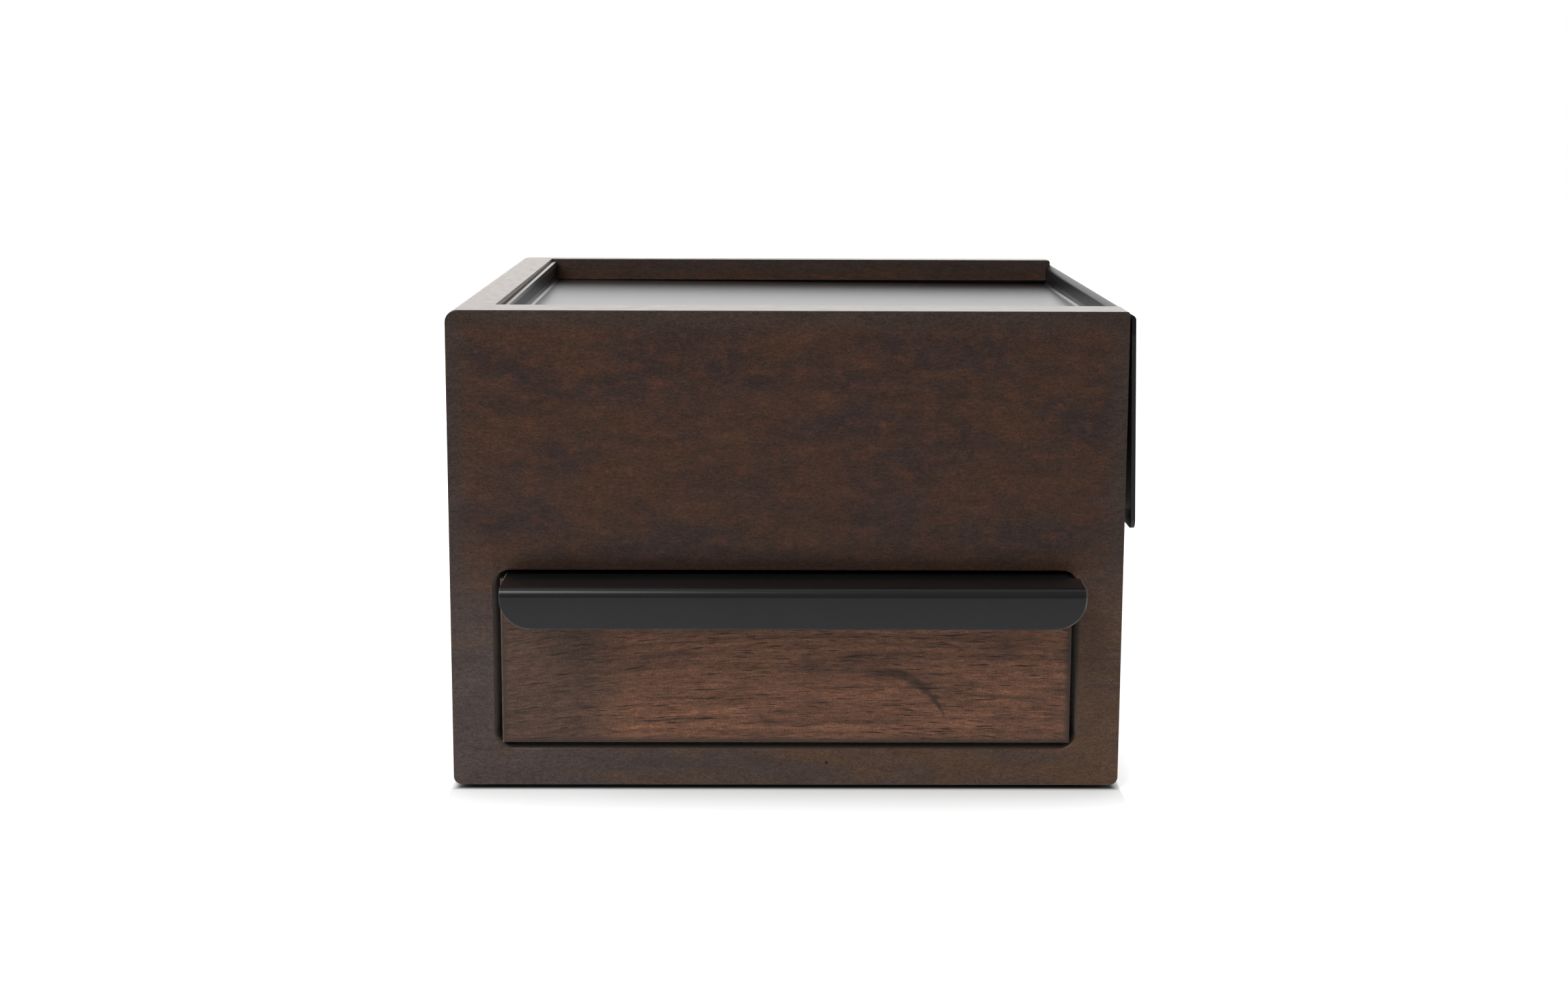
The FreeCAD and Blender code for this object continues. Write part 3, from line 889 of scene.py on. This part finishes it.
def acacia_front():
    """Brown-stained acacia: growth lines, smoky patches, fibres, grit, open pores, darker edges and pale
    dots.
    """
    material, tree, place = start_material("stained_acacia")
    spot = add(tree, "ShaderNodeSeparateXYZ", {}, {0: place}).node.outputs
    grain = growth_lines(tree, place, spot)
    band = patches(tree, grain, (32, 1.5, 1.5), seed=1.0, low=0.3, high=0.7, detail=5.0)
    tone = add(
        tree, "ShaderNodeMix", mix_colours, {0: band, 6: colour("#5b3f30"), 7: colour("#875c46")}, 2
    )
    smoke = patches(tree, grain, (14, 4, 4), seed=2.0, low=0.5, high=0.8, detail=6.0)
    tone = add(tree, "ShaderNodeMix", mix_colours, {0: smoke, 6: tone, 7: colour("#45332a")}, 2)
    left = add(
        tree,
        "ShaderNodeMapRange",
        soft_ends,
        {
            "Value": spot[0],
            "From Min": dark_end_start,
            "From Max": dark_end_full,
            "To Max": dark_end_share,
        },
    )
    tone = add(tree, "ShaderNodeMix", mix_colours, {0: left, 6: tone, 7: colour("#44362d")}, 2)
    fibre = patches(tree, grain, (2.4, 0.42, 0.42), seed=3.0, low=0.28, high=0.72, detail=4.0)
    shade = add(tree, "ShaderNodeMapRange", {}, {"Value": fibre, "To Min": 0.6, "To Max": 1.36})
    grit = patches(tree, place, (0.3, 0.3, 0.3), seed=5.0, low=0.25, high=0.75, detail=3.0)
    speck = add(tree, "ShaderNodeMapRange", {}, {"Value": grit, "To Min": 0.5, "To Max": 1.5})
    shade = add(tree, "ShaderNodeMath", multiply, {0: shade, 1: speck})
    tone = add(tree, "ShaderNodeVectorMath", {"operation": "SCALE"}, {0: tone, "Scale": shade})
    pore = patches(tree, grain, (6.0, 0.5, 0.32), seed=5.0, low=0.6, high=0.7, detail=1.0)
    tone = add(tree, "ShaderNodeMix", mix_colours, {0: pore, 6: tone, 7: colour(open_pore)}, 2)
    streak = dark_streak(tree, place)
    tone = add(tree, "ShaderNodeMix", mix_colours, {0: streak, 6: tone, 7: colour("#2a1f1a")}, 2)
    tone = darker_edges_pale_dots(tree, place, tone)
    relief = add(tree, "ShaderNodeMath", subtract, {0: fibre, 1: pore})
    end_material(tree, relief, 0.03, {"Base Color": tone, "Roughness": 0.42, **satin_lacquer})
    return material


paint(acacia_front(), "drawer_front")

# ---------------- Drawer linings
# The drawer is lined like the compartment, with linen-wrapped boards on its floor and four walls. They
# are pushed in, and stay by their fit.
for face in lined_faces:
    wrapped_board("drawer_lining_" + face, "drawer", linen_over_board, board_rounding)

# ---------------- Drawer pull
# An angle folded from thicker sheet, its lower corners rounded, powder coated like the lid and screwed
# down on the drawer front's top edge. Hands keep its coat glossier than the lid's.
leaf_round = 7.4
pull_arris = 0.28
pull_haze = 0.19
pull_film = 0.8
# Painted highlight: a pale line along the leaf's rim, where the sheet's edge catches the light.
highlight_start, highlight_full = leaf_round - 0.4, leaf_round - 0.1
# The painted highlight on the rim's straight stretch is this faint, and on its two corners full.
straight_highlight = 0.15
highlight_before, highlight_after = 1.0, 5.0
any_depth = 1000.0


def painted_rim_highlight(tree, place, tone):
    """Painted highlight along the leaf's rim, where its edge catches light, most round its two lower
    corners.
    """
    low, high = corners_mm("drawer_pull")
    middle = ((low[0] + high[0]) / 2, 0, high[2])
    straight = ((high[0] - low[0]) / 2 - leaf_round, any_depth, high[2] - low[2] - leaf_round)
    offset = add(tree, "ShaderNodeVectorMath", subtract, {0: place, 1: middle})
    offset = add(tree, "ShaderNodeVectorMath", {"operation": "ABSOLUTE"}, {0: offset})
    past = add(tree, "ShaderNodeVectorMath", subtract, {0: offset, 1: straight})
    past = add(tree, "ShaderNodeVectorMath", {"operation": "MAXIMUM"}, {0: past, 1: (0, 0, 0)})
    from_corner = add(tree, "ShaderNodeVectorMath", {"operation": "LENGTH"}, {0: past}, 1)
    rim = add(
        tree,
        "ShaderNodeMapRange",
        soft_ends,
        {"Value": from_corner, "From Min": highlight_start, "From Max": highlight_full},
    )
    across = add(tree, "ShaderNodeSeparateXYZ", {}, {0: offset}).node.outputs[0]
    ends = add(
        tree,
        "ShaderNodeMapRange",
        {},
        {
            "Value": across,
            "From Min": straight[0] - highlight_before,
            "From Max": straight[0] + highlight_after,
            "To Min": straight_highlight,
        },
    )
    broken = patches(tree, place, (3, 3, 3), seed=4.0, low=0.3, high=0.55, detail=3.0)
    rim = add(tree, "ShaderNodeMath", multiply, {0: rim, 1: ends})
    rim = add(tree, "ShaderNodeMath", multiply, {0: rim, 1: broken})
    return add(tree, "ShaderNodeMix", mix_colours, {0: rim, 6: tone, 7: colour("#646160")}, 2)


# The pull's coat, with the painted highlight on its rim.
highlighted_coat = powder_coat("handled_powder_coat_painted_rim", pull_haze, pull_film, painted_rim_highlight)
softened("folded_pull", "drawer_pull", "drawer", "black_steel", highlighted_coat, pull_arris)

# ---------------- Pull screws
# Three countersunk steel screws with cross recesses, blackened. They go down through the pull's tongue
# into the drawer front, and their heads lie flush with it.
screw_low, screw_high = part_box("pull_screws")
screw_count = 3
screw_spacing = 50.0
screw_head_radius = 2.7
screw_radius = 1.4
screw_head_depth = 1.3
screw_length = 12.0
head_sides = 40
shank_sides = 24
# The arms of the cross recess, in shares of the head's radius.
recess_length = 1.15
recess_width = 0.24


def screw_tree():
    """Row of countersunk cross-head screws whose heads' tops lie at the origin's height."""
    tree = bpy.data.node_groups.new("countersunk_screws", "GeometryNodeTree")
    tree.interface.new_socket("Geometry", in_out="INPUT", socket_type="NodeSocketGeometry")
    sizes = [
        ("Head Radius", screw_head_radius * mm),
        ("Shank Radius", screw_radius * mm),
        ("Head Depth", screw_head_depth * mm),
        ("Length", screw_length * mm),
        ("Spacing", screw_spacing * mm),
    ]
    for name, value in sizes:
        size = tree.interface.new_socket(name, in_out="INPUT", socket_type="NodeSocketFloat")
        size.default_value = value
    count = tree.interface.new_socket("Count", in_out="INPUT", socket_type="NodeSocketInt")
    count.default_value = screw_count
    tree.interface.new_socket("Material", in_out="INPUT", socket_type="NodeSocketMaterial")
    tree.interface.new_socket("Geometry", in_out="OUTPUT", socket_type="NodeSocketGeometry")
    given = add(tree, "NodeGroupInput").node.outputs
    cone = add(
        tree,
        "GeometryNodeMeshCone",
        {},
        {
            "Vertices": head_sides,
            "Radius Top": given["Head Radius"],
            "Radius Bottom": given["Shank Radius"],
            "Depth": given["Head Depth"],
        },
    )
    drop = add(tree, "ShaderNodeMath", multiply, {0: given["Head Depth"], 1: -1.0})
    drop = add(tree, "ShaderNodeCombineXYZ", {}, {2: drop})
    cone = add(tree, "GeometryNodeTransform", {}, {"Geometry": cone, "Translation": drop})
    shank_depth = add(tree, "ShaderNodeMath", subtract, {0: given["Length"], 1: given["Head Depth"]})
    shank = add(
        tree,
        "GeometryNodeMeshCylinder",
        {},
        {"Vertices": shank_sides, "Radius": given["Shank Radius"], "Depth": shank_depth},
    )
    middle = add(
        tree, "ShaderNodeMath", {"operation": "ADD"}, {0: given["Length"], 1: given["Head Depth"]}
    )
    middle = add(tree, "ShaderNodeMath", multiply, {0: middle, 1: -0.5})
    middle = add(tree, "ShaderNodeCombineXYZ", {}, {2: middle})
    shank = add(tree, "GeometryNodeTransform", {}, {"Geometry": shank, "Translation": middle})
    arm_long = add(tree, "ShaderNodeMath", multiply, {0: given["Head Radius"], 1: recess_length})
    arm_wide = add(tree, "ShaderNodeMath", multiply, {0: given["Head Radius"], 1: recess_width})
    arms = []
    for length, width in ((arm_long, arm_wide), (arm_wide, arm_long)):
        size = add(tree, "ShaderNodeCombineXYZ", {}, {0: length, 1: width, 2: given["Head Depth"]})
        arms.append(add(tree, "GeometryNodeMeshCube", {}, {"Size": size}))
    recess = add(tree, "GeometryNodeMeshBoolean", {"operation": "UNION", "solver": "EXACT"}).node
    for arm in arms:
        tree.links.new(arm, recess.inputs["Mesh 2"])
    head = add(
        tree,
        "GeometryNodeMeshBoolean",
        {"operation": "DIFFERENCE", "solver": "EXACT"},
        {0: cone, 1: recess.outputs[0]},
    )
    whole = add(tree, "GeometryNodeJoinGeometry").node
    for part in (head, shank):
        tree.links.new(part, whole.inputs[0])
    row = add(tree, "ShaderNodeCombineXYZ", {}, {0: given["Spacing"]})
    places = add(
        tree, "GeometryNodeMeshLine", {"mode": "OFFSET"}, {"Count": given["Count"], "Offset": row}
    )
    copies = add(
        tree, "GeometryNodeInstanceOnPoints", {}, {"Points": places, "Instance": whole.outputs[0]}
    )
    real = add(tree, "GeometryNodeRealizeInstances", {}, {"Geometry": copies})
    painted = add(tree, "GeometryNodeSetMaterial", {}, {"Geometry": real, "Material": given["Material"]})
    add(tree, "NodeGroupOutput", {}, {0: painted})
    return tree


def grown(name, tree, values):
    """Plain mesh that a Geometry Nodes tree makes from these named values."""
    holder = bpy.data.objects.new(name, bpy.data.meshes.new(name))
    bpy.context.scene.collection.objects.link(holder)
    maker = holder.modifiers.new(name, "NODES")
    maker.node_group = tree
    for item in tree.interface.items_tree:
        if item.in_out == "INPUT" and item.name in values:
            maker[item.identifier] = values[item.name]
    evaluated = holder.evaluated_get(bpy.context.evaluated_depsgraph_get())
    mesh = bpy.data.meshes.new_from_object(evaluated)
    holder.modifiers.clear()
    bpy.data.objects.remove(holder)
    return mesh


mesh = grown("countersunk_screws", screw_tree(), {"Material": black_coat})
row_y = (screw_low.y + screw_high.y) / 2
first_screw = Vector((screw_low.x + screw_head_radius * mm, row_y, screw_high.z))
mesh.transform(Matrix.Translation(first_screw))
add_piece("countersunk_screws", mesh, "drawer", "black_screw", black_coat, "pull_screws")

# ---------------- White sheet
# The box stands on a matt white sheet that glows for the lens alone, brighter away from the box. A shadow
# is painted on it: darkest under the case, between the feet, and soft in front of it.
floor_front = 0.29
floor_far = 1.5
floor_corners = [
    (-floor_far, -floor_front, 0),
    (floor_far, -floor_front, 0),
    (floor_far, floor_far, 0),
    (-floor_far, floor_far, 0),
]
glow_near, glow_far = 120.0, 420.0
glow_least, glow_most = 0.65, 0.85
# Ends of each painted shadow, from the case's outline out, and what is left of the glow where it begins.
under_start, under_end = -1.6, 0.8
side_shade_end = 1.0
front_shade_end = 21.0
front_shade_glow = 0.44
# The painted shadow beside the case is gone within a few millimetres.
clear_end = 9.0
clear_gain = 0.25
# Painted shadow: the greys that the lens sees on the sheet, under the case and beside it.
shadow_grey_under = colour("#6c6c6c")
shadow_grey_beside = colour("#c4c4c4")


def lit_sheet():
    """Matt white paper that glows for the lens with a painted shadow; its plain grey lights the box."""
    material, tree, place = start_material("white_sweep")
    seen = add(tree, "ShaderNodeLightPath", out="Is Camera Ray")
    from_middle = add(tree, "ShaderNodeVectorMath", {"operation": "LENGTH"}, {0: place}, 1)
    glow = add(
        tree,
        "ShaderNodeMapRange",
        soft_ends,
        {
            "Value": from_middle,
            "From Min": glow_near,
            "From Max": glow_far,
            "To Min": glow_least,
            "To Max": glow_most,
        },
    )
    case_back = corners_mm("back_panel")[1][1]
    case_middle = ((panel_low[0] + panel_high[0]) / 2, (panel_low[1] + case_back) / 2, 0)
    case_half = (case_middle[0] - panel_low[0], case_middle[1] - panel_low[1], 0)
    offset = add(tree, "ShaderNodeVectorMath", subtract, {0: place, 1: case_middle})
    offset = add(tree, "ShaderNodeVectorMath", {"operation": "ABSOLUTE"}, {0: offset})
    offset = add(tree, "ShaderNodeVectorMath", subtract, {0: offset, 1: case_half})
    offset = add(tree, "ShaderNodeSeparateXYZ", {}, {0: offset}).node.outputs
    # Painted shadow: the glow fades to nothing under the case and softly in front of it.
    beyond = add(tree, "ShaderNodeMath", {"operation": "MAXIMUM"}, {0: offset[0], 1: offset[1]})
    beyond = add(
        tree,
        "ShaderNodeMapRange",
        soft_ends,
        {"Value": beyond, "From Min": under_start, "From Max": under_end},
    )
    beside = add(tree, "ShaderNodeMapRange", {}, {"Value": offset[0], "From Max": side_shade_end})
    before = add(
        tree,
        "ShaderNodeMapRange",
        {},
        {"Value": offset[1], "From Max": front_shade_end, "To Min": front_shade_glow},
    )
    outside = add(tree, "ShaderNodeMath", {"operation": "MAXIMUM"}, {0: beside, 1: before})
    outside = add(tree, "ShaderNodeMath", multiply, {0: outside, 1: beyond})
    clear = add(
        tree,
        "ShaderNodeMapRange",
        soft_ends,
        {"Value": offset[0], "From Max": clear_end, "To Max": clear_gain},
    )
    outside = add(tree, "ShaderNodeMath", {"operation": "ADD"}, {0: outside, 1: clear})
    # Painted shadow in the grey that the lens sees: darker under the case than beside it.
    painted_shadow_tone = add(tree, "ShaderNodeMix", mix_colours, {0: beyond, 6: shadow_grey_under, 7: shadow_grey_beside}, 2)
    sheet_tone = add(tree, "ShaderNodeMix", mix_colours, {0: seen, 6: colour("#e6e6e6"), 7: painted_shadow_tone}, 2)
    matt = add(tree, "ShaderNodeBsdfDiffuse", {}, {"Color": sheet_tone})
    glow = add(tree, "ShaderNodeMath", multiply, {0: glow, 1: outside})
    glow = add(tree, "ShaderNodeMath", multiply, {0: glow, 1: seen})
    lit = add(tree, "ShaderNodeEmission", {}, {"Strength": glow})
    paper = add(tree, "ShaderNodeAddShader", {}, {0: matt, 1: lit})
    add(tree, "ShaderNodeOutputMaterial", {}, {"Surface": paper})
    return material


floor_mesh = bpy.data.meshes.new("floor")
floor_mesh.from_pydata(floor_corners, [], [(0, 1, 2, 3)])
floor_mesh.materials.append(lit_sheet())
floor = bpy.data.objects.new("floor", floor_mesh)
bpy.context.scene.collection.objects.link(floor)

# ---------------- Studio
# Pale walls all round the box, brighter behind it than in front of it and brightest straight behind,
# and one soft box above it on the left. Directions are given by their share of straight back.
turn_start, turn_end = -0.3, 0.3
front_wall_light, back_wall_light = 0.3, 1.06
backdrop_start, backdrop_full = 0.6, 0.95
backdrop_light = 0.5
key_place = (-0.48, -0.5, 0.78)
key_aim = (0, 0, 0.05)
key_size = (0.7, 0.7)
key_power = 9.0


def pale_walls():
    """The walls' light, which changes with the direction it comes from. The lens sees them white."""
    world = bpy.data.worlds.new("studio")
    world.use_nodes = True
    tree = world.node_tree
    tree.nodes.clear()
    seen = add(tree, "ShaderNodeLightPath", out="Is Camera Ray")
    direction = add(tree, "ShaderNodeTexCoord", out="Generated")
    toward = add(tree, "ShaderNodeSeparateXYZ", {}, {0: direction}).node.outputs
    depth = add(
        tree,
        "ShaderNodeMapRange",
        soft_ends,
        {
            "Value": toward[1],
            "From Min": turn_start,
            "From Max": turn_end,
            "To Min": front_wall_light,
            "To Max": back_wall_light,
        },
    )
    backdrop = add(
        tree,
        "ShaderNodeMapRange",
        soft_ends,
        {
            "Value": toward[1],
            "From Min": backdrop_start,
            "From Max": backdrop_full,
            "To Max": backdrop_light,
        },
    )
    depth = add(tree, "ShaderNodeMath", {"operation": "ADD"}, {0: depth, 1: backdrop})
    strength = add(tree, "ShaderNodeMix", {}, {0: seen, 2: depth, 3: 1.0})
    light = add(tree, "ShaderNodeBackground", {}, {"Color": colour("#ffffff"), "Strength": strength})
    add(tree, "ShaderNodeOutputWorld", {}, {"Surface": light})
    return world


bpy.context.scene.world = pale_walls()
lamp = bpy.data.lights.new("key_box", "AREA")
lamp.shape = "RECTANGLE"
lamp.size, lamp.size_y = key_size
lamp.energy = key_power
key = bpy.data.objects.new("key_box", lamp)
key.location = key_place
key.rotation_euler = (Vector(key_aim) - Vector(key_place)).to_track_quat("-Z", "Y").to_euler()
bpy.context.scene.collection.objects.link(key)

# ---------------- Camera
# It stands straight before the box and a little above it. Its lens is shifted down as well as tilted
# down, which keeps the box's upright edges nearly upright.
sensor_mm = 36.0
lens_mm = 46.36
lens_shift = -0.0748
camera_place = (-0.0055, -0.5423, 0.1718)
pitch = math.radians(-8.271)
yaw = math.radians(0.404)
roll = math.radians(0.208)
camera_data = bpy.data.cameras.new("camera")
camera_data.sensor_width = sensor_mm
camera_data.lens = lens_mm
camera_data.shift_y = lens_shift
camera_data.clip_start = 0.01
camera = bpy.data.objects.new("camera", camera_data)
camera.location = camera_place
turn = Euler((math.pi / 2 + pitch, 0, -yaw)).to_matrix() @ Matrix.Rotation(roll, 3, "Z")
camera.rotation_euler = turn.to_euler()
bpy.context.scene.collection.objects.link(camera)
bpy.context.scene.camera = camera
bpy.context.scene.view_settings.view_transform = "Standard"
